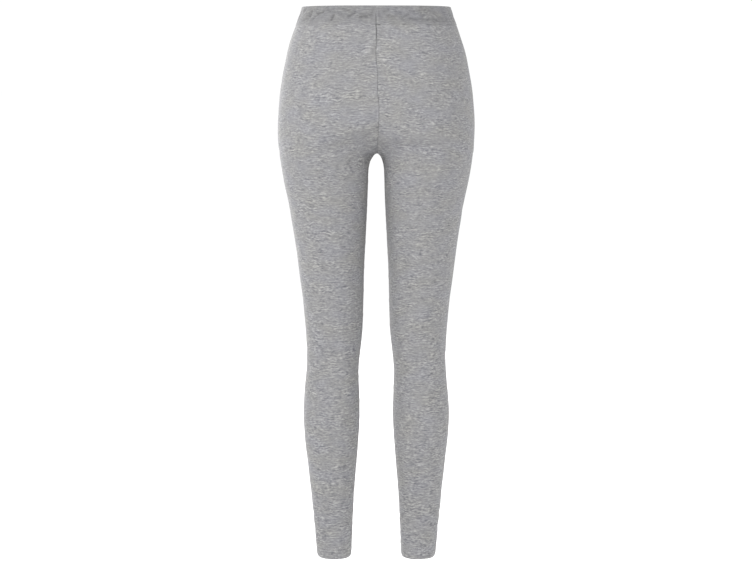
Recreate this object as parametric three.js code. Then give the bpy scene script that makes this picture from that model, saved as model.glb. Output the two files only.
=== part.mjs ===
// Ankle-length leggings in grey melange jersey, hollow and filled out as when they are worn.
// Millimetres, +Z up. The garment's back faces -Y, and the wearer's left leg is at -X.
// The origin is the middle of the waist opening, where the wearer holds the garment up.

import * as THREE from 'three';

// Lengths down the garment
const WAIST_TO_CROTCH = 248;
const WAIST_TO_HEM = 952;
const BAND_HEIGHT = 31;
const HEM_TURN = 20;
const FRONT_DIP = 12; // the waist's front edge lies this much lower than its back

// Cloth
const JERSEY = 1.4;
const BAND_THICKNESS = 3; // two layers of jersey with elastic between them
const SEAM_GAP = 0.3;
const FOLD_RADIUS = 1.1; // rounding of the band's folded top edge
const BAND_PROUD = 0.4; // the band stands this much out of the panels

// Form of the seat and crotch
const ROUNDNESS = 2.3; // exponent of the ovals, where 2 is an ellipse
const SEAM_SOFTNESS = 11; // how widely the cloth bridges the hollow along the centre seams
const BACK_RISE_CURVE = 68; // height above the crotch where the centre back is full
const FRONT_RISE_CURVE = 80; // the same at the centre front
const GAP_ARCH = 34; // depth below the crotch where the gap between the legs is full

// Small soft gathers of the waistband over its elastic
const GATHERS = 13; // on each half
const GATHER_DEPTH = 0.8;

// Sections of the right half, a row for each height. down is from the waist's top edge.
// outer is the half-width of the garment, gap the half-width between the legs, and core is
// where the leg's oval has its centre. middle, front and back are that oval's places along Y.
const SECTIONS = [
  { down: 0, outer: 126.3, gap: 13.8, core: 34, middle: 0, front: 92, back: -92 },
  { down: 31, outer: 137.0, gap: 13.8, core: 40, middle: 0, front: 95, back: -97 },
  { down: 65, outer: 148.2, gap: 13.8, core: 48, middle: 0, front: 98, back: -103 },
  { down: 100, outer: 156.6, gap: 13.8, core: 56, middle: -1, front: 100, back: -110 },
  { down: 140, outer: 163.5, gap: 13.8, core: 64, middle: -2, front: 100, back: -120 },
  { down: 180, outer: 167.1, gap: 13.8, core: 72, middle: -4, front: 98, back: -126 },
  { down: 215, outer: 167.5, gap: 13.8, core: 79, middle: -6, front: 95, back: -125 },
  { down: 250, outer: 165.0, gap: 13.8, core: 84, middle: -8, front: 92, back: -116 },
  { down: 285, outer: 159.7, gap: 13.8, core: 86.7, middle: -4, front: 90, back: -104 },
  { down: 330, outer: 151.2, gap: 15.0, core: 83.1, middle: 0, front: 88, back: -94 },
  { down: 389, outer: 141.6, gap: 18.1, core: 79.9, middle: 2, front: 83, back: -83 },
  { down: 445, outer: 133.6, gap: 21.3, core: 77.5, middle: 2, front: 76, back: -75 },
  { down: 500, outer: 126.5, gap: 22.9, core: 74.7, middle: 1, front: 68, back: -67 },
  { down: 556, outer: 121.4, gap: 24.9, core: 73.2, middle: -1, front: 60, back: -62 },
  { down: 598, outer: 119.8, gap: 29.4, core: 74.6, middle: -3, front: 55, back: -60 },
  { down: 626, outer: 120.4, gap: 31.5, core: 76.0, middle: -6, front: 51, back: -62 },
  { down: 667, outer: 123.6, gap: 30.2, core: 76.9, middle: -11, front: 46, back: -69 },
  { down: 702, outer: 125.1, gap: 29.5, core: 77.3, middle: -15, front: 42, back: -74 },
  { down: 737, outer: 123.6, gap: 31.3, core: 77.4, middle: -17, front: 39, back: -75 },
  { down: 779, outer: 119.0, gap: 34.5, core: 76.8, middle: -17, front: 35, back: -70 },
  { down: 836, outer: 113.0, gap: 39.2, core: 76.1, middle: -15, front: 29, back: -59 },
  { down: 894, outer: 107.3, gap: 42.1, core: 74.7, middle: -13, front: 25, back: -50 },
  { down: 952, outer: 102.8, gap: 44.2, core: 73.5, middle: -11, front: 24, back: -46 },
];

// Steps of the meshes
const STEPS_ABOVE_CROTCH = 12;
const STEPS_OF_ARCH = 5;
const STEPS_DOWN_LEG = 21;
const STEPS_ROUND_OUTSIDE = 14;
const STEPS_TO_SEAM = 6; // from the middle of the front, or of the back, to the centre seam
const STEPS_PER_GATHER = 4;
const STEPS_DOWN_BAND = 3;

const melange = new THREE.MeshStandardMaterial({ color: 0x98989b, roughness: 0.95, metalness: 0 });
const bandMelange = new THREE.MeshStandardMaterial({ color: 0x8b8b8f, roughness: 0.95, metalness: 0 });

// One column of SECTIONS at any height, on a smooth curve through its rows
function sectionValue(column, down) {
  const last = SECTIONS.length - 1;
  let i = 0;
  while (i < last - 1 && SECTIONS[i + 1].down < down) i += 1;
  const slopeAt = (k) => {
    const before = SECTIONS[Math.max(k - 1, 0)];
    const after = SECTIONS[Math.min(k + 1, last)];
    return (after[column] - before[column]) / (after.down - before.down);
  };
  const from = SECTIONS[i];
  const to = SECTIONS[i + 1];
  const span = to.down - from.down;
  const t = (down - from.down) / span;
  return from[column] * (1 + 2 * t) * (1 - t) ** 2
    + to[column] * (3 - 2 * t) * t ** 2
    + slopeAt(i) * span * t * (1 - t) ** 2
    - slopeAt(i + 1) * span * (1 - t) * t ** 2;
}

// Quarter of an ellipse: 0 at the start, steep at first, and 1 from `length` on
function arch(distance, length) {
  const rest = 1 - THREE.MathUtils.clamp(distance / length, 0, 1);
  return Math.sqrt(1 - rest * rest);
}

// Share of the way round, on each side of the outside, that the oval's outer half takes up
const OUTSIDE_SHARE = STEPS_ROUND_OUTSIDE / (STEPS_ROUND_OUTSIDE + 2 * STEPS_TO_SEAM);

// Point of the cloth's outer face on the right half. `turn` goes from -1 at the centre front seam,
// or at the front of the inseam, over 0 at the outside to 1 at the centre back seam or inseam.
function facePoint(down, turn) {
  const core = sectionValue('core', down);
  const middle = sectionValue('middle', down);
  const isFront = turn < 0;
  const depth = sectionValue(isFront ? 'front' : 'back', down) - middle;
  const power = 2 / ROUNDNESS;
  let x;
  let y;
  if (Math.abs(turn) <= OUTSIDE_SHARE) {
    const angle = (Math.abs(turn) / OUTSIDE_SHARE) * (Math.PI / 2);
    const reach = Math.hypot(sectionValue('outer', down), SEAM_SOFTNESS) - core;
    x = core + reach * Math.max(0, Math.cos(angle)) ** power;
    y = middle + depth * Math.sin(angle) ** power;
  } else {
    const angle = ((Math.abs(turn) - OUTSIDE_SHARE) / (1 - OUTSIDE_SHARE)) * (Math.PI / 2);
    const inward = Math.sin(angle) ** power;
    const above = WAIST_TO_CROTCH - down;
    const gap = sectionValue('gap', down) * arch(-above, GAP_ARCH);
    const full = arch(above, isFront ? FRONT_RISE_CURVE : BACK_RISE_CURVE);
    const closing = 1 - full ** ROUNDNESS;
    x = core - (core - Math.hypot(gap, SEAM_SOFTNESS)) * inward;
    y = middle + depth * Math.max(0, 1 - closing * inward ** ROUNDNESS) ** (1 / ROUNDNESS);
  }
  x = Math.sqrt(Math.max(0, x * x - SEAM_SOFTNESS ** 2));
  const frontShare = Math.max(0, y / sectionValue('front', down));
  const dip = FRONT_DIP * frontShare ** 2 * (1 - THREE.MathUtils.smoothstep(down, 0, WAIST_TO_CROTCH));
  return new THREE.Vector3(x + SEAM_GAP / 2, y, -down - dip);
}

// A wall of cloth through rows of points. Rows from `firstRing` on are closed round the leg, and
// those above it end at the centre seams. inset gives how deep each face lies below the form.
function clothWall(downs, turns, firstRing, inset) {
  const columns = turns.length;
  const isRing = (row) => row >= firstRing;
  const starts = [];
  const face = [];
  downs.forEach((down, row) => {
    starts.push(face.length);
    const ends = isRing(row) ? columns - 1 : columns;
    for (let column = 0; column < ends; column += 1) face.push(facePoint(down, turns[column]));
  });
  const at = (row, column) => starts[row] + (isRing(row) && column === columns - 1 ? 0 : column);

  const quads = [];
  for (let row = 0; row < downs.length - 1; row += 1) {
    for (let column = 0; column < columns - 1; column += 1) {
      quads.push([at(row, column), at(row, column + 1), at(row + 1, column + 1), at(row + 1, column)]);
    }
  }
  const surface = new THREE.BufferGeometry().setFromPoints(face);
  surface.setIndex(quads.flatMap(([a, b, c, d]) => [a, b, c, a, c, d]));
  surface.computeVertexNormals();
  const normals = face.map((_, i) => new THREE.Vector3().fromBufferAttribute(surface.attributes.normal, i));
  downs.forEach((_, row) => {
    if (row > firstRing) return;
    for (const end of [at(row, 0), at(row, columns - 1)]) normals[end].setX(0).normalize();
  });

  const count = face.length;
  const points = new Array(2 * count);
  downs.forEach((down, row) => {
    for (let column = 0; column < columns; column += 1) {
      const i = at(row, column);
      const { outer, inner } = inset(down, turns[column]);
      points[i] = face[i].clone().addScaledVector(normals[i], -outer);
      points[count + i] = face[i].clone().addScaledVector(normals[i], -inner);
    }
  });

  const sides = [];
  for (const [a, b, c, d] of quads) sides.push([a, b, c, d], [count + d, count + c, count + b, count + a]);
  const edge = (a, b) => sides.push([a, b, count + b, count + a]);
  const bottom = downs.length - 1;
  for (let column = 0; column < columns - 1; column += 1) {
    edge(at(0, column + 1), at(0, column));
    edge(at(bottom, column), at(bottom, column + 1));
  }
  for (let row = 0; row < Math.min(firstRing, bottom); row += 1) {
    edge(at(row, 0), at(row + 1, 0));
    edge(at(row + 1, columns - 1), at(row, columns - 1));
  }
  const wall = new THREE.BufferGeometry().setFromPoints(points);
  wall.setIndex(sides.flatMap(([a, b, c, d]) => [a, b, c, a, c, d]));
  return wall;
}

// The same wall on the other side of the body
function mirrored(wall) {
  const copy = wall.clone().scale(-1, 1, 1);
  const order = Array.from(wall.index.array);
  for (let i = 0; i < order.length; i += 3) [order[i], order[i + 1]] = [order[i + 1], order[i]];
  copy.setIndex(order);
  return copy;
}

function evenly(from, to, steps) {
  return Array.from({ length: steps + 1 }, (_, i) => from + ((to - from) * i) / steps);
}

// A leg panel is one piece of jersey from the band to the hem, closed by its inseam only.
// Its rows are closer at the crotch. The last ones are the hem, turned inward to two layers.
function legPanel() {
  const top = BAND_HEIGHT + SEAM_GAP;
  const rise = WAIST_TO_CROTCH - top;
  const fromCrotch = (share) => 1 - Math.cos((share * Math.PI) / 2);
  const aboveCrotch = evenly(1, 0, STEPS_ABOVE_CROTCH).map((a) => WAIST_TO_CROTCH - rise * fromCrotch(a));
  const archRows = evenly(0, 1, STEPS_OF_ARCH).map((a) => WAIST_TO_CROTCH + GAP_ARCH * fromCrotch(a));
  const hemFold = WAIST_TO_HEM - HEM_TURN;
  const downLeg = evenly(WAIST_TO_CROTCH + GAP_ARCH, hemFold, STEPS_DOWN_LEG);
  const downs = [...aboveCrotch, ...archRows.slice(1), ...downLeg.slice(1), hemFold + JERSEY, WAIST_TO_HEM];
  const inner = evenly(-1, -OUTSIDE_SHARE, STEPS_TO_SEAM);
  const outside = evenly(-OUTSIDE_SHARE, OUTSIDE_SHARE, STEPS_ROUND_OUTSIDE);
  const turns = [...inner.slice(0, -1), ...outside, ...inner.slice(0, -1).reverse().map((turn) => -turn)];
  return clothWall(downs, turns, STEPS_ABOVE_CROTCH, (down) => ({
    outer: 0,
    inner: down > hemFold ? 2 * JERSEY : JERSEY,
  }));
}

// Half of the waistband: a folded casing whose outside has small soft gathers over the elastic
function bandHalf() {
  const downs = [0, ...evenly(FOLD_RADIUS, BAND_HEIGHT - FOLD_RADIUS, STEPS_DOWN_BAND), BAND_HEIGHT];
  const turns = evenly(-1, 1, GATHERS * STEPS_PER_GATHER);
  return clothWall(downs, turns, Infinity, (down, turn) => {
    const onEdge = down === 0 || down === BAND_HEIGHT;
    const fullness = Math.sin((Math.PI * down) / BAND_HEIGHT);
    const wave = (1 - Math.cos(turn * GATHERS * Math.PI)) / 2;
    const round = onEdge ? FOLD_RADIUS : 0;
    return {
      outer: round - BAND_PROUD + GATHER_DEPTH * wave * fullness,
      inner: BAND_THICKNESS - BAND_PROUD - round,
    };
  });
}

const garment = new THREE.Group();
const pieces = [
  { name: 'leg', wall: legPanel(), material: melange },
  { name: 'waistband', wall: bandHalf(), material: bandMelange },
];
for (const { name, wall, material } of pieces) {
  const right = new THREE.Mesh(wall, material);
  right.name = `${name}_right`;
  const left = new THREE.Mesh(mirrored(wall), material);
  left.name = `${name}_left`;
  garment.add(left, right);
}

export default garment;
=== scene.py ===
import math

import bpy
import numpy as np
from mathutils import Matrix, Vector


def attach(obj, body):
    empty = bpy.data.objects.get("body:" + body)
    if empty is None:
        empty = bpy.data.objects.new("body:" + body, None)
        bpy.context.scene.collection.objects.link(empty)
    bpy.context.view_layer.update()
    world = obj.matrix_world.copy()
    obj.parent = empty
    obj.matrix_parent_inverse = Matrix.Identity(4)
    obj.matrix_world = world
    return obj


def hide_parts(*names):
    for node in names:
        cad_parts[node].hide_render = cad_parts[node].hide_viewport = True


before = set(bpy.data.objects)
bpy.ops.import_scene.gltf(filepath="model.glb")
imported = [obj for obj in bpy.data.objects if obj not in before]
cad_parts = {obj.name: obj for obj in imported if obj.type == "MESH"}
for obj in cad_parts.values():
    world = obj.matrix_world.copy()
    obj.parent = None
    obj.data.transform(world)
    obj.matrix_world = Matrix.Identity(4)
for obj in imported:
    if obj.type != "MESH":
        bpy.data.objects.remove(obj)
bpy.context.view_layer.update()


# Leg panels. Each is one piece of fine single jersey, knitted of melange yarn and cut from the
# waistband to the hem, front and back in one. It is closed by its inseam and sewn to the other
# panel from the centre front round the crotch to the centre back, and it is stretched as worn.

MM = 0.001

WAIST_TO_CROTCH = 248
WAIST_TO_HEM = 952
BAND_HEIGHT = 31
HEM_TURN = 20
FRONT_DIP = 12  # the waist's front edge lies this much lower than its back
JERSEY = 1.4  # thickness of the cloth

ROUNDNESS = 2.3  # exponent of the ovals, where 2 is an ellipse
SEAM_SOFTNESS = 11  # how widely the cloth bridges the hollow along the centre seams
BACK_RISE_CURVE = 68  # height above the crotch where the centre back is full
FRONT_RISE_CURVE = 80
GAP_ARCH = 34  # depth below the crotch where the gap between the legs is full
OUTSIDE_SHARE = 14 / 26  # share of the way round that the oval's outer half takes up
INNER_BACK = 30  # the cloth of the inner thighs lies fullest this much further back under the seat
INNER_BACK_DOWN = 263
INNER_BACK_REACH = 80

# Sections of the right half in millimetres, a row for each height
COLUMNS = ("down", "outer", "gap", "core", "middle", "front", "back")
SECTIONS = np.array([
    (0, 126.3, 13.8, 34.0, 0, 92, -92),
    (31, 137.0, 13.8, 40.0, 0, 95, -97),
    (65, 148.2, 13.8, 48.0, 0, 98, -103),
    (100, 156.6, 13.8, 56.0, -1, 100, -110),
    (140, 163.5, 13.8, 64.0, -2, 100, -120),
    (180, 167.1, 13.8, 72.0, -4, 98, -126),
    (215, 167.5, 13.8, 79.0, -6, 95, -125),
    (250, 165.0, 13.8, 84.0, -8, 92, -116),
    (285, 159.7, 13.8, 86.7, -4, 90, -104),
    (330, 151.2, 15.0, 83.1, 0, 88, -94),
    (389, 141.6, 18.1, 79.9, 2, 83, -83),
    (445, 133.6, 21.3, 77.5, 2, 76, -75),
    (500, 126.5, 22.9, 74.7, 1, 68, -67),
    (556, 121.4, 24.9, 73.2, -1, 60, -62),
    (598, 119.8, 29.4, 74.6, -3, 55, -60),
    (626, 120.4, 31.5, 76.0, -6, 51, -62),
    (667, 123.6, 30.2, 76.9, -11, 46, -69),
    (702, 125.1, 29.5, 77.3, -15, 42, -74),
    (737, 123.6, 31.3, 77.4, -17, 39, -75),
    (779, 119.0, 34.5, 76.8, -17, 35, -70),
    (836, 113.0, 39.2, 76.1, -15, 29, -59),
    (894, 107.3, 42.1, 74.7, -13, 25, -50),
    (952, 102.8, 44.2, 73.5, -11, 24, -46),
])


def section_value(column, down):
    """One column of SECTIONS at any heights, on a smooth curve through its rows."""
    downs = SECTIONS[:, 0]
    values = SECTIONS[:, COLUMNS.index(column)]
    last = len(downs) - 1
    before = np.maximum(np.arange(last + 1) - 1, 0)
    after = np.minimum(np.arange(last + 1) + 1, last)
    slopes = (values[after] - values[before]) / (downs[after] - downs[before])
    i = np.clip(np.searchsorted(downs, down) - 1, 0, last - 1)
    span = downs[i + 1] - downs[i]
    t = (down - downs[i]) / span
    return (
        values[i] * (1 + 2 * t) * (1 - t) ** 2
        + values[i + 1] * (3 - 2 * t) * t**2
        + slopes[i] * span * t * (1 - t) ** 2
        - slopes[i + 1] * span * (1 - t) * t**2
    )


def arch(distance, length):
    """Quarter of an ellipse: 0 at the start, steep at first, and 1 from the length on."""
    rest = 1 - np.clip(distance / length, 0, 1)
    return np.sqrt(1 - rest**2)


def smooth(value, start, end):
    """0 up to the start, 1 from the end on, and a soft step between them."""
    t = np.clip((value - start) / (end - start), 0, 1)
    return t * t * (3 - 2 * t)


def valley(distance, width):
    """1 at no distance, fading softly to both sides."""
    return np.exp(-((distance / width) ** 2))


def form_points(down, turn):
    """Points of the right half's form, in millimetres. turn goes from -1 at the centre front seam, or
    at the front of the inseam, over 0 at the outside to 1 at the centre back seam or inseam."""
    core = section_value("core", down)
    middle = section_value("middle", down)
    is_front = turn < 0
    full_depth = np.where(is_front, section_value("front", down), section_value("back", down))
    depth = full_depth - middle
    power = 2 / ROUNDNESS
    share = np.abs(turn)

    outer_angle = np.minimum(share / OUTSIDE_SHARE, 1) * math.pi / 2
    reach = np.hypot(section_value("outer", down), SEAM_SOFTNESS) - core
    outer_x = core + reach * np.maximum(np.cos(outer_angle), 0) ** power
    outer_y = middle + depth * np.sin(outer_angle) ** power

    inner_angle = np.clip((share - OUTSIDE_SHARE) / (1 - OUTSIDE_SHARE), 0, 1) * math.pi / 2
    inward = np.sin(inner_angle) ** power
    above = WAIST_TO_CROTCH - down
    gap = section_value("gap", down) * arch(-above, GAP_ARCH)
    full = np.where(is_front, arch(above, FRONT_RISE_CURVE), arch(above, BACK_RISE_CURVE))
    closing = 1 - full**ROUNDNESS
    inner_x = core - (core - np.hypot(gap, SEAM_SOFTNESS)) * inward
    inner_middle = middle - INNER_BACK * valley(down - INNER_BACK_DOWN, INNER_BACK_REACH)
    inner_depth = full_depth - inner_middle
    backward = np.maximum(1 - closing * inward**ROUNDNESS, 0) ** (1 / ROUNDNESS)
    inner_y = inner_middle + inner_depth * backward

    is_outer = share <= OUTSIDE_SHARE
    x = np.where(is_outer, outer_x, inner_x)
    y = np.where(is_outer, outer_y, inner_y)
    x = np.sqrt(np.maximum(x**2 - SEAM_SOFTNESS**2, 0))
    front_share = np.maximum(y / section_value("front", down), 0)
    dip = FRONT_DIP * front_share**2 * (1 - smooth(down, 0, WAIST_TO_CROTCH))
    return np.stack([x, y, -down - dip], axis=-1)


NEAR_SEAM = np.array([0, 0.35, 0.75, 1.2, 1.8, 2.6, 3.8, 5.4, 7.5])  # columns beside each seam, mm
SAMPLES_ROUND = 1200


def form_grid(downs, columns):
    """The form at these heights, with its columns spread evenly round the cloth, and closer beside
    the seams. Returns the points, each point's distance from the front edge, and each row's length."""
    turns = np.linspace(-1, 1, SAMPLES_ROUND + 1)
    between = np.linspace(0, 1, columns - 2 * len(NEAR_SEAM) + 2)[1:-1]
    points = []
    along = []
    lengths = []
    for down in downs:
        line = form_points(np.full_like(turns, down), turns)
        steps = np.linalg.norm(np.diff(line, axis=0), axis=1)
        walked = np.concatenate([[0], np.cumsum(steps)])
        length = walked[-1]
        far = length - NEAR_SEAM[::-1]
        middle = NEAR_SEAM[-1] + between * (length - 2 * NEAR_SEAM[-1])
        places = np.concatenate([NEAR_SEAM, middle, far])
        points.append(np.stack([np.interp(places, walked, line[:, k]) for k in range(3)], axis=-1))
        along.append(places)
        lengths.append(length)
    return np.array(points), np.array(along), np.array(lengths)


def grid_normals(points, ring_from):
    """Outward normals of a grid of points. Rows from ring_from on are closed round the leg, and the
    ends of the others face straight off the plane of the centre seams."""
    a, b, c, d = points[:-1, :-1], points[:-1, 1:], points[1:, 1:], points[1:, :-1]
    faces = np.cross(c - a, d - b)
    normals = np.zeros_like(points)
    for rows in (slice(None, -1), slice(1, None)):
        for cols in (slice(None, -1), slice(1, None)):
            normals[rows, cols] += faces
    ends = normals[ring_from:, 0] + normals[ring_from:, -1]
    normals[ring_from:, 0] = ends
    normals[ring_from:, -1] = ends
    normals[: ring_from + 1, 0, 0] = 0
    normals[: ring_from + 1, -1, 0] = 0
    normals /= np.linalg.norm(normals, axis=-1, keepdims=True)
    return normals


# Creases of the worn cloth, a row each: how far down and round it lies (0 at the front edge of the
# panel, 0.5 at the outside, 1 at the back edge), its length and width, its height (troughs are
# negative), its slant in degrees, rising away from the front edge, and its bend. Millimetres.
LEFT_CREASES = (
    (204, 0.900, 110, 18.0, 2.0, 14, 0.0008),
    (227, 0.925, 104, 11.0, -4.4, 20, 0.0016),
    (246, 0.920, 110, 22.0, -3.4, 18, 0.0012),
    (262, 0.905, 66, 6.5, -1.3, 17, 0.0010),
    (240, 0.800, 104, 15.0, -1.6, 7, 0.0006),
    (172, 0.865, 76, 22.0, 2.2, 12, 0.0004),
    (300, 0.830, 64, 9.0, -0.8, 13, 0.0006),
    (560, 0.790, 70, 7.0, -1.4, 6, 0.0010),
    (576, 0.720, 52, 6.0, 1.1, -7, 0.0012),
    (592, 0.800, 62, 7.0, -1.3, 4, -0.0008),
    (613, 0.730, 44, 6.0, -0.8, -12, 0.0012),
    (700, 0.690, 46, 5.5, -1.0, -26, 0.0010),
    (722, 0.660, 38, 5.0, 0.6, -24, 0.0008),
    (762, 0.720, 44, 5.0, -1.0, -18, 0.0012),
    (846, 0.760, 40, 5.0, -1.0, 12, 0.0020),
    (872, 0.700, 46, 5.0, -1.1, -9, 0.0016),
    (884, 0.780, 34, 4.5, 0.8, -6, 0.0016),
    (905, 0.730, 42, 5.0, -1.1, 8, 0.0014),
    (240, 0.075, 70, 8.0, -2.1, -28, 0.0012),
    (254, 0.110, 84, 7.5, 1.3, -24, 0.0010),
    (268, 0.120, 58, 6.5, -1.3, -20, 0.0010),
    (214, 0.170, 72, 10.0, -1.1, -16, 0.0008),
    (560, 0.230, 58, 8.0, -1.0, -8, -0.0010),
    (604, 0.260, 64, 8.0, -1.3, 5, -0.0012),
    (618, 0.210, 44, 6.0, 0.8, 9, -0.0010),
    (640, 0.240, 50, 7.0, -0.8, 3, -0.0010),
    (868, 0.260, 44, 5.0, -1.4, -8, 0.0018),
    (884, 0.220, 36, 4.5, 1.0, -4, 0.0016),
    (898, 0.270, 46, 5.0, -1.4, 6, 0.0016),
    (918, 0.240, 34, 4.5, -1.0, 3, 0.0018),
    (330, 0.480, 74, 13.0, -0.8, 22, 0.0004),
    (588, 0.500, 46, 8.0, -0.8, 14, 0.0006),
    (876, 0.520, 42, 5.5, -1.0, 5, 0.0012),
    (900, 0.480, 38, 5.0, -0.8, -5, 0.0012),
)
RIGHT_CREASES = (
    (214, 0.872, 120, 17.0, 2.2, 3, 0.0006),
    (235, 0.872, 136, 11.0, -3.8, 2, 0.0006),
    (255, 0.868, 140, 24.0, -3.4, 2, 0.0004),
    (268, 0.915, 56, 6.5, -1.1, 15, 0.0010),
    (166, 0.875, 70, 20.0, 2.0, 9, 0.0004),
    (296, 0.860, 86, 17.0, 2.0, 14, 0.0006),
    (552, 0.760, 62, 7.0, -1.3, -6, 0.0010),
    (571, 0.810, 54, 6.5, -1.1, 8, 0.0012),
    (584, 0.740, 66, 6.5, 1.1, 3, -0.0008),
    (602, 0.770, 56, 7.0, -1.3, -5, 0.0010),
    (752, 0.760, 54, 5.0, -1.3, 5, 0.0010),
    (764, 0.700, 46, 4.5, 0.8, 4, 0.0008),
    (776, 0.750, 58, 5.5, -1.3, -4, 0.0012),
    (794, 0.710, 40, 5.0, -0.8, -8, 0.0010),
    (846, 0.770, 38, 5.0, -1.3, 9, 0.0020),
    (866, 0.700, 42, 5.0, 0.8, 6, 0.0016),
    (880, 0.740, 46, 5.0, -1.1, -7, 0.0014),
    (908, 0.780, 40, 5.0, -1.3, 5, 0.0016),
    (238, 0.080, 74, 8.5, -1.9, -25, 0.0012),
    (256, 0.115, 78, 7.5, 1.1, -22, 0.0010),
    (271, 0.110, 62, 6.5, -1.1, -18, 0.0010),
    (222, 0.180, 66, 10.0, -1.0, -13, 0.0008),
    (556, 0.260, 60, 8.0, -1.1, 6, -0.0010),
    (598, 0.230, 58, 8.0, -1.1, -6, -0.0012),
    (622, 0.260, 52, 6.5, 0.8, 4, -0.0010),
    (646, 0.220, 46, 7.0, -0.8, -4, -0.0010),
    (862, 0.230, 42, 5.0, -1.3, 7, 0.0018),
    (880, 0.270, 40, 4.5, 0.8, 4, 0.0016),
    (894, 0.230, 44, 5.0, -1.3, -6, 0.0016),
    (915, 0.260, 36, 4.5, -1.0, -3, 0.0018),
    (340, 0.510, 70, 12.0, -0.8, -20, 0.0004),
    (596, 0.490, 48, 8.0, -0.8, -12, 0.0006),
    (872, 0.480, 44, 5.5, -1.0, -5, 0.0012),
    (898, 0.520, 36, 5.0, -0.8, 6, 0.0012),
)

# Slow unevenness of hand-cut, worn cloth, a row each: wave lengths round and down, height, start
UNEVENNESS = (
    (170, 260, 0.45, 0.4),
    (96, 133, 0.28, 2.1),
    (61, 88, 0.14, 4.6),
    (211, 57, 0.13, 1.2),
)
DOWN_START = 2.3  # the wave down the cloth starts this many times as far on as the one round it
PANEL_START = 0.7  # share of a panel's own start that the waves down the cloth take
WAVE_LEAN = 0.012  # the waves lean by this angle for each millimetre round the cloth

CREASE_FULL = 0.15  # a crease fades out between these shares of its length from its middle
CREASE_END = 0.62
SEAM_CALM = 26  # creases fade out this near to a seam
BAND_CALM = 30
HEM_CALM = 0.7  # share of the creases that the doubled hem holds flat
HEM_CALM_ABOVE = 12  # it starts to hold them this far above its turned edge
CLOTH_EASE = 0.5  # the cloth stands off the form by this much, and more below the knee
LOWER_EASE = 0.6
LOWER_EASE_FADE = (380, 560)
INSEAM_EASE_FADE = (300, 420)  # below here the inseam stands off too
SEAM_FURROW = 1.05
SEAM_DRAWN = 1.3  # deeper by this much at the waistband, fading out down the rise
SEAM_DRAWN_FADE = (38, 68)
SEAM_WIDTH = 1.15
SEAM_PUCKER = 0.9  # dimples beside the seam, where its thread is tighter
PUCKER_PLACE = 4
PUCKER_WIDTH = 3
SLACK_PULL = 0.7  # the least pull that draws a dimple
PULL_WAVES = ((13.7, 1), (21.3, 3), (47, 5))  # wave lengths of the pull, and how each is shifted
PULL_STRENGTH = 0.2
BAND_FURROW = {-1: 0.4, 1: 1.4}  # along the waistband's seam, deeper on the right half
BAND_FURROW_WIDTH = 2
OVERLOCK_WIDTH = 6  # the seam allowances lie flat inside, overlocked together
OVERLOCK_EDGE = (OVERLOCK_WIDTH - 1, OVERLOCK_WIDTH + 0.4)
OVERLOCK_RISE = 1.1
SEAM_DRIFT = 4.5  # the centre back seam wanders this far to the right, most at DRIFT_MIDDLE
DRIFT_MIDDLE = 178
DRIFT_REACH = 70
DRIFT_WIDTH = 45  # cloth beside the seam that goes along with it
SEAM_WAVER = 0.7
WAVER_LENGTH = 64
WAVER_FADE = (160, 240)
HEM_ROLL = 1.2  # the hem's edge leans in this far over its last millimetres
HEM_ROLL_HEIGHT = 9
HEM_ROWS = (15.5, 20)  # the two needle rows of the hem's coverstitch, from its edge
NEEDLE_FURROW = 0.28
NEEDLE_FURROW_WIDTH = 0.9


def seam_pull(down, start):
    """How tightly the seam's thread draws the cloth, uneven along the seam, about 1."""
    waves = [np.sin(2 * math.pi * down / wave + shift * start) for wave, shift in PULL_WAVES]
    return 1 + PULL_STRENGTH * sum(waves)


def creases_height(down, along, length, creases):
    """The height that these creases, soft ridges and troughs, give the cloth at its grid's points."""
    height = np.zeros_like(along)
    for place_down, place_round, long, wide, rise, slant, bend in creases:
        across = along - place_round * length
        below = down - place_down
        cos, sin = math.cos(math.radians(slant)), math.sin(math.radians(slant))
        run = across * cos - below * sin
        off = below * cos + across * sin + bend * run**2
        fade = 1 - smooth(np.abs(run), CREASE_FULL * long, CREASE_END * long)
        height += rise * fade * valley(off, wide)
    return height


def unevenness_height(down, along, start):
    """The height that the cloth's slow unevenness gives it, where the panel's waves begin at start."""
    height = np.zeros_like(along)
    for round_length, down_length, rise, phase in UNEVENNESS:
        wave_round = np.sin(2 * math.pi * along / round_length + phase + start)
        down_phase = DOWN_START * phase + PANEL_START * start + WAVE_LEAN * along
        wave_down = np.sin(2 * math.pi * down / down_length + down_phase)
        height += rise * wave_round * wave_down
    return height


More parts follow.
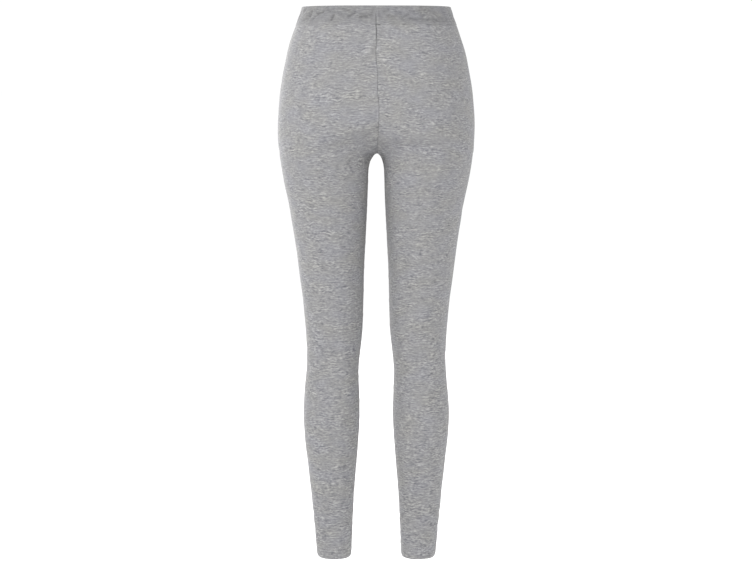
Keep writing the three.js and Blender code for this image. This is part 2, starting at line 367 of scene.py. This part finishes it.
def shell(name, outer, inner, uv, flip):
    """A closed shell between two grids of points, in millimetres, with its rims. flip turns the faces
    of a mirrored grid. uv is the place in the cloth, in metres, the same on both faces."""
    rows, cols = outer.shape[:2]
    count = rows * cols
    index = np.arange(count).reshape(rows, cols)
    a, b, c, d = index[:-1, :-1], index[:-1, 1:], index[1:, 1:], index[1:, :-1]
    outside = np.stack([a, b, c, d], axis=-1).reshape(-1, 4)
    quads = [outside, outside[:, ::-1] + count]
    border = np.concatenate([index[:, 0], index[-1, 1:], index[-2::-1, -1], index[0, -2:0:-1]])
    ahead = np.roll(border, -1)
    quads.append(np.stack([border, ahead, ahead + count, border + count], axis=-1))
    faces = np.concatenate(quads)
    if flip:
        faces = faces[:, ::-1]

    mesh = bpy.data.meshes.new(name)
    mesh.vertices.add(2 * count)
    mesh.vertices.foreach_set("co", (np.concatenate([outer, inner]).reshape(-1, 3) * MM).ravel())
    mesh.loops.add(faces.size)
    mesh.loops.foreach_set("vertex_index", faces.ravel())
    mesh.polygons.add(len(faces))
    mesh.polygons.foreach_set("loop_start", np.arange(0, faces.size, 4))
    mesh.update(calc_edges=True)
    mesh.shade_smooth()
    places = np.concatenate([uv.reshape(-1, 2), uv.reshape(-1, 2)])
    layer = mesh.uv_layers.new(name="cloth")
    layer.data.foreach_set("uv", places[faces.ravel()].ravel())
    mesh.validate()
    piece = bpy.data.objects.new(name, mesh)
    bpy.context.scene.collection.objects.link(piece)
    return piece


def steps_from(start, *parts):
    """Heights in millimetres: each part goes on to its end in steps of about the size it gives."""
    heights = [start]
    for end, step in parts:
        count = max(1, round((end - heights[-1]) / step))
        heights.extend(np.linspace(heights[-1], end, count + 1)[1:])
    return np.array(heights)


PANEL_TOP = BAND_HEIGHT
PANEL_COLUMNS = 132
ROW_STEP = 3.2
ROW_MARGIN = 3  # the usual rows keep this distance from the close ones
HEM_ROW_STEP = 0.75
TOP_ROW_STEP = 0.55  # close rows show the furrow under the waistband
TOP_ROWS_HEIGHT = 3
NEXT_ROW_STEP = 1.5
NEXT_ROWS_END = 9
CROTCH_STEPS = 19
CROTCH_GROWTH = 0.105  # rows lie this much further apart with each step away from the crotch
FOLD_ROWS = 6
FOLD_DEPTH = 0.93  # share of a round edge, so that the folded cloth keeps some wall

from_crotch = CROTCH_GROWTH * np.arange(1, CROTCH_STEPS + 1) ** 2
above_crotch = WAIST_TO_CROTCH - from_crotch[-1] - ROW_MARGIN
below_crotch = WAIST_TO_CROTCH + from_crotch[-1] + ROW_MARGIN
hem_fold = WAIST_TO_HEM - HEM_TURN  # the turned cloth's own edge, sewn to the leg
turned_edge = (hem_fold - 0.5, hem_fold + 0.7)
fold_angles = np.linspace(0, math.pi / 2, FOLD_ROWS)
fold_downs = WAIST_TO_HEM - JERSEY * (1 - np.sin(fold_angles))
panel_downs = np.concatenate([
    steps_from(
        PANEL_TOP,
        (PANEL_TOP + TOP_ROWS_HEIGHT, TOP_ROW_STEP),
        (PANEL_TOP + NEXT_ROWS_END, NEXT_ROW_STEP),
        (above_crotch, ROW_STEP),
    ),
    WAIST_TO_CROTCH - from_crotch[::-1],
    [WAIST_TO_CROTCH],
    WAIST_TO_CROTCH + from_crotch,
    steps_from(
        below_crotch, (hem_fold - ROW_MARGIN, ROW_STEP), (fold_downs[0] - 0.6, HEM_ROW_STEP)
    ),
    fold_downs,
])
fold_insets = np.concatenate([
    np.zeros(len(panel_downs) - len(fold_downs)),
    JERSEY * (1 - np.cos(fold_angles)) * FOLD_DEPTH,
])
crotch_row = int(np.argmin(np.abs(panel_downs - WAIST_TO_CROTCH)))


def make_leg(name, side, creases, start):
    """One leg panel, where side is 1 for the right leg and -1 for the left one, and start is the angle
    at which the panel's waves begin. Returns it with its outer and inner points, the outward normals
    and the length of each row, all in millimetres."""
    points, along, lengths = form_grid(panel_downs, PANEL_COLUMNS)
    normals = grid_normals(points, crotch_row)
    down = np.repeat(panel_downs[:, None], PANEL_COLUMNS, axis=1)
    length = np.repeat(lengths[:, None], PANEL_COLUMNS, axis=1)
    from_edge = np.minimum(along, length - along)

    height = creases_height(down, along, length, creases) + unevenness_height(down, along, start)
    height *= 1 - HEM_CALM * smooth(down, hem_fold - HEM_CALM_ABOVE, WAIST_TO_HEM)
    height *= smooth(from_edge, 0, SEAM_CALM)
    ease = CLOTH_EASE + LOWER_EASE * smooth(down, *LOWER_EASE_FADE)
    height += ease * np.maximum(smooth(from_edge, 0, SEAM_CALM), smooth(down, *INSEAM_EASE_FADE))
    height *= smooth(down, PANEL_TOP, PANEL_TOP + BAND_CALM)
    pull = seam_pull(down, start)
    furrow = SEAM_FURROW + SEAM_DRAWN * (1 - smooth(down, *SEAM_DRAWN_FADE))
    height -= furrow * pull * valley(from_edge, SEAM_WIDTH)
    height -= SEAM_PUCKER * (pull - SLACK_PULL) * valley(from_edge - PUCKER_PLACE, PUCKER_WIDTH)
    band_pull = seam_pull(along, start) - SLACK_PULL
    height -= BAND_FURROW[side] * band_pull * valley(down - PANEL_TOP, BAND_FURROW_WIDTH)
    for row in HEM_ROWS:
        height -= NEEDLE_FURROW * valley(down - (WAIST_TO_HEM - row), NEEDLE_FURROW_WIDTH)
    height -= fold_insets[:, None]
    height -= HEM_ROLL * smooth(down, WAIST_TO_HEM - HEM_ROLL_HEIGHT, WAIST_TO_HEM) ** 2

    hem_layers = smooth(down, *turned_edge)
    thickness = JERSEY * (1 + hem_layers)
    from_seam = np.minimum(from_edge, down - PANEL_TOP)
    thickness += OVERLOCK_RISE * (1 - smooth(from_seam, *OVERLOCK_EDGE))
    thickness -= 2 * fold_insets[:, None]
    outer = points + normals * height[..., None]
    inner = outer - normals * thickness[..., None]

    near_back = 1 - smooth(length - along, 0, DRIFT_WIDTH)
    waver = SEAM_WAVER * np.sin(2 * math.pi * down / WAVER_LENGTH) * (1 - smooth(down, *WAVER_FADE))
    drift = (SEAM_DRIFT * valley(down - DRIFT_MIDDLE, DRIFT_REACH) - waver) * near_back
    for face in (outer, inner):
        face[..., 0] *= side
        face[..., 0] += drift
    uv = np.stack([(along - length / 2) * MM * side, -down * MM], axis=-1)
    piece = shell(name, outer, inner, uv, side < 0)
    return piece, outer, inner, normals * np.array([side, 1, 1]), lengths


def linear(hex_colour):
    """An sRGB hex colour as linear RGBA."""
    parts = [int(hex_colour[i : i + 2], 16) / 255 for i in (1, 3, 5)]
    return [p / 12.92 if p <= 0.04045 else ((p + 0.055) / 1.055) ** 2.4 for p in parts] + [1]


def add_node(tree, kind, settings=None, values=None, links=None):
    """Adds a shader node with its settings, its sockets' values and the sockets that feed it."""
    node = tree.nodes.new(kind)
    for key, value in (settings or {}).items():
        setattr(node, key, value)
    for socket, value in (values or {}).items():
        node.inputs[socket].default_value = value
    for socket, source in (links or {}).items():
        tree.links.new(source, node.inputs[socket])
    return node


# Patterns of the jersey, each the length and height of a patch on the cloth in millimetres
COURSE_WAVE = (20, 14)
COURSE_SHIFT = (0.004, 0.009, 0)  # how far the waves can carry the streaks, in metres
LONG_STREAK = (14.5, 2.1)
SHORT_STREAK = (5.2, 2.2)
SLUB = (36, 23)
SLUB_CONTRAST = (0.6, 1.4)
NOISE_LOW = 0.3  # nearly all of a noise lies between these
NOISE_HIGH = 0.7
SLACK_HEIGHTS = (-0.9, -0.1)  # metres, from the ankle up to the waist
SLACK_CONTRAST = (1.25, 0.92)
HUE_PATCH = (45, 28)
WARM_TINT = "#fffefb"
COOL_TINT = "#fbfbff"
CASING_EDGE = (17, 8)
KNIT = (0.8, 1.4)
CASING_FADE = 11  # the casing's painted darker shade fades out over this height, and its place wavers
CASING_FADE_LOW = 3.5  # its start above the casing's lower edge, which the waver lowers by about 8
CASING_WAVER = 16
# painted shade of the casing's gathers, with its closer-lying fibres, as the share of its colour that
# stays
CASING_PAINTED_SHADE = 0.845
RELIEF = 0.6  # the knit's height in millimetres
RELIEF_STRENGTH = 0.35
KNIT_SHARE = 0.5  # of the relief, beside the streaks' own


def melange_jersey(name, dark, mid, light, contrast):
    """Cotton and elastane single jersey of melange yarn, matt and faintly fuzzy. Dark and pale fibres
    give it short streaks along the courses, here warmer and there cooler. It is softly lighter where
    it is seen edge-on. In the waistband and just below its seam its colour is darker: this is painted
    shade of the casing's gathers, and partly its closer-lying fibres."""
    material = bpy.data.materials.new(name)
    material.use_nodes = True
    tree = material.node_tree
    tree.nodes.clear()
    cloth = add_node(tree, "ShaderNodeUVMap", {"uv_map": "cloth"}).outputs[0]

    def cloth_noise(place, patch, detail=1, distortion=0):
        """Noise whose patches are about so long and so high on the cloth."""
        length, height = patch[0] * MM, patch[1] * MM
        scale = (1 / length, 1 / height, 1)
        mapping = add_node(
            tree, "ShaderNodeMapping", values={"Scale": scale}, links={"Vector": place}
        )
        settings = {"Scale": 1, "Detail": detail, "Roughness": 0.5, "Distortion": distortion}
        patches = {"Vector": mapping.outputs[0]}
        return add_node(tree, "ShaderNodeTexNoise", values=settings, links=patches)

    # The courses of a worn knit wave up and down by a millimetre or two
    waves = cloth_noise(cloth, COURSE_WAVE)
    shift = add_node(
        tree,
        "ShaderNodeVectorMath",
        {"operation": "MULTIPLY_ADD"},
        {1: COURSE_SHIFT},
        {0: waves.outputs["Color"], 2: cloth},
    )

    # A streak of melange yarn is 5 to 15 mm long and a course or two high. One course is 0.45 mm,
    # too fine to show, so the streaks are drawn about 2 mm high.
    long_streaks = cloth_noise(shift.outputs[0], LONG_STREAK, detail=2, distortion=0.2)
    short_streaks = cloth_noise(shift.outputs[0], SHORT_STREAK, detail=2, distortion=0.2)
    streaks = add_node(
        tree,
        "ShaderNodeMath",
        {"operation": "ADD"},
        links={0: long_streaks.outputs["Fac"], 1: short_streaks.outputs["Fac"]},
    )

    # Slubs, where the yarn is thicker, come every few centimetres and make the streaks stronger, and
    # so does the cloth where it is less stretched, towards the ankles
    slubs = cloth_noise(cloth, SLUB)
    strength = add_node(
        tree,
        "ShaderNodeMapRange",
        values={
            "From Min": NOISE_LOW,
            "From Max": NOISE_HIGH,
            "To Min": SLUB_CONTRAST[0] * contrast,
            "To Max": SLUB_CONTRAST[1] * contrast,
        },
        links={"Value": slubs.outputs["Fac"]},
    )
    height = add_node(tree, "ShaderNodeSeparateXYZ", links={"Vector": cloth})
    slackness = add_node(
        tree,
        "ShaderNodeMapRange",
        values={
            "From Min": SLACK_HEIGHTS[0],
            "From Max": SLACK_HEIGHTS[1],
            "To Min": SLACK_CONTRAST[0],
            "To Max": SLACK_CONTRAST[1],
        },
        links={"Value": height.outputs["Y"]},
    )
    drawn = add_node(
        tree,
        "ShaderNodeMath",
        {"operation": "MULTIPLY"},
        links={0: strength.outputs[0], 1: slackness.outputs[0]},
    )
    centred = add_node(
        tree, "ShaderNodeMath", {"operation": "SUBTRACT"}, {1: 1}, {0: streaks.outputs[0]}
    )
    scaled = add_node(
        tree,
        "ShaderNodeMath",
        {"operation": "MULTIPLY_ADD"},
        {2: 0.5},
        {0: centred.outputs[0], 1: drawn.outputs[0]},
    )
    colour = add_node(tree, "ShaderNodeValToRGB", links={"Fac": scaled.outputs[0]})
    ramp = colour.color_ramp
    ramp.elements[0].color = linear(dark)
    ramp.elements[1].color = linear(light)
    ramp.elements.new(0.5).color = linear(mid)

    # Batches of fibre differ very little in hue, from a warm grey to a bluish one
    hue = cloth_noise(cloth, HUE_PATCH)
    tint = add_node(tree, "ShaderNodeValToRGB", links={"Fac": hue.outputs["Fac"]})
    tint.color_ramp.elements[0].position = NOISE_LOW
    tint.color_ramp.elements[0].color = linear(WARM_TINT)
    tint.color_ramp.elements[1].position = NOISE_HIGH
    tint.color_ramp.elements[1].color = linear(COOL_TINT)
    tinted = add_node(
        tree,
        "ShaderNodeMix",
        {"data_type": "RGBA", "blend_type": "MULTIPLY"},
        {"Factor": 1},
        {6: colour.outputs[0], 7: tint.outputs[0]},
    )

    # The casing's colour is darkened as painted shade of its gathers, and partly for its closer-lying
    # fibres, and this fades out unevenly at its seam
    edge = cloth_noise(cloth, CASING_EDGE, detail=2)
    uneven = add_node(
        tree,
        "ShaderNodeMath",
        {"operation": "MULTIPLY_ADD"},
        {1: CASING_WAVER * MM},
        {0: edge.outputs["Fac"], 2: height.outputs["Y"]},
    )
    fade_start = (CASING_FADE_LOW - BAND_HEIGHT) * MM
    fade_end = fade_start + CASING_FADE * MM
    painted_gather_shade = add_node(
        tree,
        "ShaderNodeMapRange",
        {"interpolation_type": "SMOOTHSTEP"},
        {"From Min": fade_start, "From Max": fade_end, "To Min": 1, "To Max": CASING_PAINTED_SHADE},
        {"Value": uneven.outputs[0]},
    )
    shade = add_node(
        tree,
        "ShaderNodeVectorMath",
        {"operation": "SCALE"},
        links={0: tinted.outputs[2], "Scale": painted_gather_shade.outputs[0]},
    )

    # The knit itself: wales 0.8 mm apart and courses, felt more than seen
    knit = cloth_noise(cloth, KNIT)
    relief = add_node(
        tree,
        "ShaderNodeMath",
        {"operation": "MULTIPLY_ADD"},
        {1: KNIT_SHARE},
        {0: knit.outputs["Fac"], 2: streaks.outputs[0]},
    )
    bump = add_node(
        tree,
        "ShaderNodeBump",
        values={"Strength": RELIEF_STRENGTH, "Distance": RELIEF * MM},
        links={"Height": relief.outputs[0]},
    )
    surface = add_node(
        tree,
        "ShaderNodeBsdfPrincipled",
        values={
            "Roughness": 0.92,
            "IOR": 1.5,
            "Specular IOR Level": 0.25,
            "Sheen Weight": 0.15,
            "Sheen Roughness": 0.5,
            "Sheen Tint": linear("#e4e4e6"),
        },
        links={"Base Color": shade.outputs[0], "Normal": bump.outputs[0]},
    )
    add_node(tree, "ShaderNodeOutputMaterial", links={"Surface": surface.outputs[0]})
    return material


DARK_FIBRE = "#59595c"
MID_FIBRE = "#767677"
PALE_FIBRE = "#939391"
jersey = melange_jersey("melange_jersey", DARK_FIBRE, MID_FIBRE, PALE_FIBRE, contrast=1.3)

legs = {
    "left": make_leg("leggings_left_leg", -1, LEFT_CREASES, start=1.7),
    "right": make_leg("leggings_right_leg", 1, RIGHT_CREASES, start=0),
}

# A panel laid flat is widest across the upper thigh, and the jersey is stretched round the body when
# it is worn. Each panel gets the jersey, hangs from the root body and takes the place of its CAD part,
# which is hidden.
for word in ("left", "right"):
    leg = legs[word][0]
    leg.data.materials.append(jersey)
    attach(leg, "root")
    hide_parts(f"leg_{word}")


# Sewing thread. The hem is turned inward once and fastened by a coverstitch of spun polyester, with
# two rows of straight needle stitches outside and loopers that cross between them inside. The
# allowances of all other seams are overlocked inside, where their loopers run to and fro.

STITCH = 2.8
STITCH_PITCH = 3.3
STITCH_PROFILE = np.array([0.25, 0.8, 1.0, 0.8, 0.25])  # thread's thickness along a stitch
STITCH_RISE = 0.35
STITCH_SINK = 0.18
THREAD = 0.42
THREAD_SIDES = 6
THREAD_FLATNESS = 1.25
LOOPER_PITCH = 3.0
LOOPER_THREAD = 0.36
LOOPER_SIDES = 4
LOOPER_FROM_SEAM = 0.9
THREAD_COLOUR = "#9d9da0"
TWIST_SCALE = 900  # waves a metre, a twist of about 1 mm
GROOVE_PAINTED_SHADE = 0.82  # painted shade in the groove between the plies, as a share of the thread's colour
TWIST_RELIEF = 0.1


def evenly_along(line, places):
    """Points and other values of a line at these distances from its start, in millimetres."""
    steps = np.linalg.norm(np.diff(line[:, :3], axis=0), axis=1)
    walked = np.concatenate([[0], np.cumsum(steps)])
    return np.stack([np.interp(places, walked, line[:, k]) for k in range(line.shape[1])], axis=-1)


def line_length(line):
    return np.linalg.norm(np.diff(line[:, :3], axis=0), axis=1).sum()


def tube(spine, out, radii, sides, vertices, faces):
    """Adds a tube with closed ends along a spine, a little flattened against the cloth."""
    base = len(vertices)
    runs = np.gradient(spine, axis=0)
    across = np.cross(runs, out)
    across /= np.linalg.norm(across, axis=1, keepdims=True)
    for centre, normal, side, radius in zip(spine, out, across, radii):
        for angle in np.linspace(0, 2 * math.pi, sides, endpoint=False):
            sideways = THREAD_FLATNESS * side * math.cos(angle)
            vertices.append(centre + radius * (sideways + normal * math.sin(angle)))
    for ring in range(len(spine) - 1):
        for j in range(sides):
            ahead = (j + 1) % sides
            first = base + ring * sides
            second = first + sides
            faces.append((first + j, first + ahead, second + ahead, second + j))
    faces.append(tuple(base + j for j in reversed(range(sides))))
    last = base + (len(spine) - 1) * sides
    faces.append(tuple(last + j for j in range(sides)))


def thread_piece(name, vertices, faces):
    mesh = bpy.data.meshes.new(name)
    mesh.from_pydata([tuple(v * MM) for v in vertices], [], faces)
    mesh.shade_smooth()
    mesh.materials.append(thread)
    piece = bpy.data.objects.new(name, mesh)
    bpy.context.scene.collection.objects.link(piece)
    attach(piece, "root")


def needle_row(line, vertices, faces):
    """Short stitches along a line, sunk into the cloth at their ends."""
    length = line_length(line)
    count = int(length / STITCH_PITCH)
    rings = len(STITCH_PROFILE)
    radii = STITCH_PROFILE * THREAD / 2
    lift = STITCH_RISE * np.sin(np.linspace(0, math.pi, rings)) - STITCH_SINK
    for k in range(count):
        places = (k + 0.5) * length / count + STITCH * np.linspace(-0.5, 0.5, rings)
        points = evenly_along(line, places)
        spine, out = points[:, :3], points[:, 3:]
        tube(spine + out * lift[:, None], out, radii, THREAD_SIDES, vertices, faces)


def looper_row(one, other, vertices, faces):
    """One thread that runs to and fro between two lines."""
    count = int(line_length(one) / LOOPER_PITCH) * 2
    shares = np.linspace(0, 1, count + 1)
    near = evenly_along(one, shares * line_length(one))
    far = evenly_along(other, shares * line_length(other))
    points = np.where((np.arange(count + 1) % 2 == 0)[:, None], near, far)
    spine, out = points[:, :3], points[:, 3:]
    radii = np.full(len(spine), LOOPER_THREAD / 2)
    tube(spine + out * LOOPER_THREAD / 2, out, radii, LOOPER_SIDES, vertices, faces)


def row_at(down):
    """The panel's row nearest to this height."""
    return int(np.argmin(np.abs(panel_downs - down)))


def spun_polyester(name, shade):
    """Spun polyester thread, softly lustrous, with its fine twist as a slanting relief and painted
    shade in the groove between its plies.
    """
    material = bpy.data.materials.new(name)
    material.use_nodes = True
    tree = material.node_tree
    tree.nodes.clear()
    place = add_node(tree, "ShaderNodeTexCoord")
    twist = add_node(
        tree,
        "ShaderNodeTexWave",
        {"bands_direction": "DIAGONAL"},
        {"Scale": TWIST_SCALE, "Distortion": 0.6},
        {"Vector": place.outputs["Object"]},
    )
    painted_groove_shade = [c * GROOVE_PAINTED_SHADE for c in linear(shade)[:3]] + [1]
    tint = add_node(
        tree,
        "ShaderNodeMix",
        {"data_type": "RGBA"},
        {6: painted_groove_shade, 7: linear(shade)},
        {"Factor": twist.outputs["Fac"]},
    )
    bump = add_node(
        tree,
        "ShaderNodeBump",
        values={"Strength": 0.4, "Distance": TWIST_RELIEF * MM},
        links={"Height": twist.outputs["Fac"]},
    )
    surface = add_node(
        tree,
        "ShaderNodeBsdfPrincipled",
        values={"Roughness": 0.6, "IOR": 1.5, "Sheen Weight": 0.15},
        links={"Base Color": tint.outputs[2], "Normal": bump.outputs[0]},
    )
    add_node(tree, "ShaderNodeOutputMaterial", links={"Surface": surface.outputs[0]})
    return material


thread = spun_polyester("spun_polyester_thread", THREAD_COLOUR)
NEAR_COLUMN = 2
FAR_COLUMN = 7  # close to the edge of the allowance
NEAR_ROW = row_at(PANEL_TOP + LOOPER_FROM_SEAM)
FAR_ROW = row_at(PANEL_TOP + OVERLOCK_WIDTH)
hem_lines = [row_at(WAIST_TO_HEM - height) for height in HEM_ROWS]
hem_start = row_at(hem_fold)
for word in ("left", "right"):
    _, face, inside, normals, _ = legs[word]
    outside_lines = np.concatenate([face, normals], axis=-1)
    inside_lines = np.concatenate([inside, -normals], axis=-1)
    vertices, faces = [], []
    for row in hem_lines:
        needle_row(outside_lines[row], vertices, faces)
    thread_piece(f"leggings_{word}_hem_stitches", vertices, faces)

    vertices, faces = [], []
    looper_row(inside_lines[hem_lines[0]], inside_lines[hem_lines[1]], vertices, faces)
    looper_row(inside_lines[NEAR_ROW], inside_lines[FAR_ROW], vertices, faces)
    seam_lines = inside_lines[FAR_ROW:hem_start]
    for near, far in ((NEAR_COLUMN, FAR_COLUMN), (-1 - NEAR_COLUMN, -1 - FAR_COLUMN)):
        looper_row(seam_lines[:, near], seam_lines[:, far], vertices, faces)
    thread_piece(f"leggings_{word}_overlock_thread", vertices, faces)


# Waistband. Each half is a strip of the same jersey, folded along its top edge over wide elastic and
# sewn to the panels, and the elastic draws it into small soft puckers. Its colour is painted a little
# darker than the legs'. This is painted shade of its gathers, and partly because it is two layers and
# less stretched.

BAND_THICKNESS = 3
BAND_PROUD = 0.2  # the band stands this much out of the panels
BAND_ROW_SPACING = 0.9
BAND_COLUMNS = 360
FOLD_RADIUS = 1.45
FOLD_DEPTH_TOP = 0.94  # share of a round edge, so that the band keeps some wall at its fold
BAND_EDGE = 0.6  # height of the rounding at its lower edge
BAND_EDGE_DEPTH = 0.3
BAND_EDGE_ROWS = 4
BAND_SEAM_FURROW = 1.6  # at the centre seams, fading in below the fold
BAND_SEAM_FADE = (4, 22)
PUCKER_SPREAD = 0.4  # a small power keeps the puckers full to near the band's edges
PUCKER_CALM = 4  # puckers fade out this near to the centre seams
INNER_PUCKER = 0.3  # share of the puckers that shows inside

# Puckers of the casing over its elastic, with the columns of the panels' creases. Those of 90
# degrees are upright.
LEFT_PUCKERS = (
    (15, 0.985, 24, 2.9, -2.1, 80, 0.004),
    (19, 0.950, 30, 2.6, -3.6, 6, 0.012),
    (11, 0.925, 16, 2.2, 1.8, -20, 0.010),
    (17, 0.893, 20, 2.6, -3.4, 30, 0.014),
    (9, 0.872, 34, 2.0, -3.1, -18, 0.004),
    (14, 0.842, 24, 2.4, -2.6, -30, -0.008),
    (20, 0.812, 18, 2.6, -3.8, 68, 0.012),
    (9, 0.793, 24, 2.2, -3.1, -28, 0.008),
    (14, 0.768, 18, 2.6, 2.1, 50, -0.012),
    (13, 0.745, 26, 2.4, -3.1, 14, 0.018),
    (20, 0.716, 20, 2.8, -2.9, 48, -0.010),
    (14, 0.690, 22, 2.9, -3.6, 76, 0.010),
    (22, 0.660, 20, 2.8, -2.3, 18, 0.010),
    (9, 0.625, 26, 3.1, -2.1, 34, 0.004),
    (18, 0.580, 30, 4.2, -1.4, 62, 0.004),
    (11, 0.535, 26, 4.0, -1.5, -38, 0.006),
    (20, 0.480, 34, 4.4, -1.3, 28, 0.003),
    (12, 0.420, 26, 3.8, -1.7, 58, 0.006),
    (21, 0.375, 22, 3.2, -1.4, -24, 0.008),
    (10, 0.330, 34, 3.6, -1.7, 16, 0.006),
    (17, 0.270, 28, 4.0, -1.8, 50, -0.006),
    (8, 0.215, 22, 3.2, -1.4, -30, 0.006),
    (21, 0.175, 36, 3.4, -1.6, 12, 0.005),
    (12, 0.118, 24, 3.8, -1.7, 64, 0.006),
    (19, 0.066, 28, 3.4, -1.4, -18, 0.008),
    (14, 0.022, 22, 3.4, -1.5, 78, 0),
)
RIGHT_PUCKERS = (
    (15, 0.982, 22, 2.9, -2.2, 84, 0.004),
    (9, 0.952, 20, 2.4, -2.9, -26, 0.010),
    (20, 0.930, 22, 2.6, -3.1, 18, 0.012),
    (12, 0.900, 24, 2.8, -2.6, 46, 0.008),
    (18, 0.868, 22, 2.6, -2.9, -30, 0.010),
    (24, 0.820, 60, 2.6, -3.9, 2, 0.001),
    (10, 0.838, 26, 2.6, -2.3, 24, 0.010),
    (15, 0.795, 20, 2.9, -2.5, 66, 0.008),
    (8, 0.760, 30, 2.6, -2.3, -14, 0.006),
    (25, 0.700, 50, 2.6, -3.6, -2, 0.001),
    (15, 0.722, 24, 3.1, -2.3, 52, -0.008),
    (11, 0.672, 24, 3.1, -2.3, 34, 0.006),
    (19, 0.618, 30, 3.8, -1.6, 58, 0.004),
    (10, 0.572, 26, 4.0, -1.4, -32, 0.005),
    (19, 0.515, 36, 4.2, -1.4, 22, 0.003),
    (12, 0.462, 24, 3.8, -1.6, 60, 0.006),
    (22, 0.415, 30, 3.4, -1.5, -16, 0.006),
    (9, 0.368, 28, 3.4, -1.5, 26, 0.008),
    (17, 0.318, 26, 4.0, -1.8, 54, 0.005),
    (10, 0.262, 32, 3.2, -1.5, -20, 0.006),
    (20, 0.210, 26, 3.8, -1.7, 38, -0.006),
    (12, 0.158, 30, 3.4, -1.5, 14, 0.010),
    (20, 0.108, 22, 3.4, -1.6, 62, 0.005),
    (11, 0.064, 26, 3.2, -1.5, -24, 0.006),
    (16, 0.024, 22, 3.4, -1.5, 80, 0),
)

top_angles = np.linspace(math.pi / 2, 0, FOLD_ROWS)
top_downs = FOLD_RADIUS * (1 - np.sin(top_angles))
bottom_angles = np.linspace(0, math.pi / 2, BAND_EDGE_ROWS)
bottom_downs = BAND_HEIGHT - BAND_EDGE * (1 - np.sin(bottom_angles))
flat_downs = steps_from(FOLD_RADIUS, (BAND_HEIGHT - BAND_EDGE, BAND_ROW_SPACING))[1:-1]
band_downs = np.concatenate([top_downs, flat_downs, bottom_downs])
band_insets = np.concatenate([
    FOLD_DEPTH_TOP * FOLD_RADIUS * (1 - np.cos(top_angles)),
    np.zeros(len(flat_downs)),
    BAND_EDGE_DEPTH * (1 - np.cos(bottom_angles)),
])


def make_band(name, side, puckers):
    """One half of the waistband, and its mean length in metres."""
    points, along, lengths = form_grid(band_downs, BAND_COLUMNS)
    normals = grid_normals(points, len(band_downs))
    down = np.repeat(band_downs[:, None], BAND_COLUMNS, axis=1)
    length = np.repeat(lengths[:, None], BAND_COLUMNS, axis=1)
    from_edge = np.minimum(along, length - along)
    fullness = np.sin(math.pi * np.clip(down / BAND_HEIGHT, 0, 1)) ** PUCKER_SPREAD
    calm = smooth(from_edge, 0, PUCKER_CALM)
    drawn = creases_height(down, along, length, puckers) * fullness * calm
    furrow = BAND_SEAM_FURROW * valley(from_edge, SEAM_WIDTH) * smooth(down, *BAND_SEAM_FADE)
    height = drawn + BAND_PROUD - band_insets[:, None] - furrow
    inside = BAND_THICKNESS - BAND_PROUD - band_insets[:, None] - INNER_PUCKER * drawn
    outer = points + normals * height[..., None]
    inner = points - normals * inside[..., None]
    for face in (outer, inner):
        face[..., 0] *= side
    uv = np.stack([(along - length / 2) * MM * side, -down * MM], axis=-1)
    return shell(name, outer, inner, uv, side < 0), lengths.mean() * MM


casing = melange_jersey("melange_jersey_casing", DARK_FIBRE, MID_FIBRE, PALE_FIBRE, contrast=0.85)
for side, word, puckers in ((-1, "left", LEFT_PUCKERS), (1, "right", RIGHT_PUCKERS)):
    band, band_length = make_band(f"leggings_{word}_waistband", side, puckers)
    band.data.materials.append(casing)
    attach(band, "root")
    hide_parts(f"waistband_{word}")


# Studio: a white floor and white surroundings, as for a cut-out picture of clothing. Broad soft
# lights stand on the left, in front, on the right and behind on the left. The camera is a little
# above the thighs, far enough away to keep the legs parallel.

FLOOR_DOWN = 1.04
FLOOR_SIZE = 120
LIT_POINT = (0, 0, -0.4)
SURROUNDINGS = 1.02  # brightness that renders as plain white
CAMERA_DISTANCE = 3.3
CAMERA_RISE = 6.5  # degrees
CAMERA_LENS = 91.16
CAMERA_SENSOR = 36
CAMERA_REACH = 200
AIM = (-0.0004, 0, -0.4728)


def make_floor():
    side = FLOOR_SIZE / 2
    mesh = bpy.data.meshes.new("studio_floor")
    corners = [(-side, -side, 0), (side, -side, 0), (side, side, 0), (-side, side, 0)]
    mesh.from_pydata(corners, [], [(0, 1, 2, 3)])
    floor = bpy.data.objects.new("studio_floor", mesh)
    floor.location = (0, 0, -FLOOR_DOWN)
    bpy.context.scene.collection.objects.link(floor)
    material = bpy.data.materials.new("matt_white_paint")
    material.use_nodes = True
    surface = material.node_tree.nodes["Principled BSDF"]
    surface.inputs["Base Color"].default_value = linear("#ffffff")
    surface.inputs["Roughness"].default_value = 1
    surface.inputs["Specular IOR Level"].default_value = 0
    mesh.materials.append(material)


def area_light(name, place, size, power):
    data = bpy.data.lights.new(name, "AREA")
    data.shape = "DISK"
    data.size = size
    data.energy = power
    light = bpy.data.objects.new(name, data)
    light.location = place
    light.visible_camera = False
    aim = Vector(LIT_POINT) - Vector(place)
    light.rotation_euler = aim.to_track_quat("-Z", "Y").to_euler()
    bpy.context.scene.collection.objects.link(light)


make_floor()
area_light("soft_key", (-1.194, -1.002, 0.55), size=1.2, power=25)
area_light("front_light", (0.43, -3.05, 1.09), size=1.8, power=20)
area_light("fill_light", (2.677, -1.545, 0.478), size=1.6, power=30)
area_light("edge_light", (-1.467, 2.541, 0.274), size=1.2, power=64)

world = bpy.data.worlds.new("white_studio")
world.use_nodes = True
sky = world.node_tree.nodes["Background"]
sky.inputs["Color"].default_value = (1, 1, 1, 1)
sky.inputs["Strength"].default_value = SURROUNDINGS
bpy.context.scene.world = world
bpy.context.scene.view_settings.view_transform = "Standard"

lens = bpy.data.cameras.new("camera")
lens.lens = CAMERA_LENS
lens.sensor_width = CAMERA_SENSOR
lens.clip_end = CAMERA_REACH
camera = bpy.data.objects.new("camera", lens)
rise = math.radians(CAMERA_RISE)
offset = Vector((0, -math.cos(rise), math.sin(rise))) * CAMERA_DISTANCE
camera.location = Vector(AIM) + offset
camera.rotation_euler = (-offset).to_track_quat("-Z", "Y").to_euler()
bpy.context.scene.collection.objects.link(camera)
bpy.context.scene.camera = camera
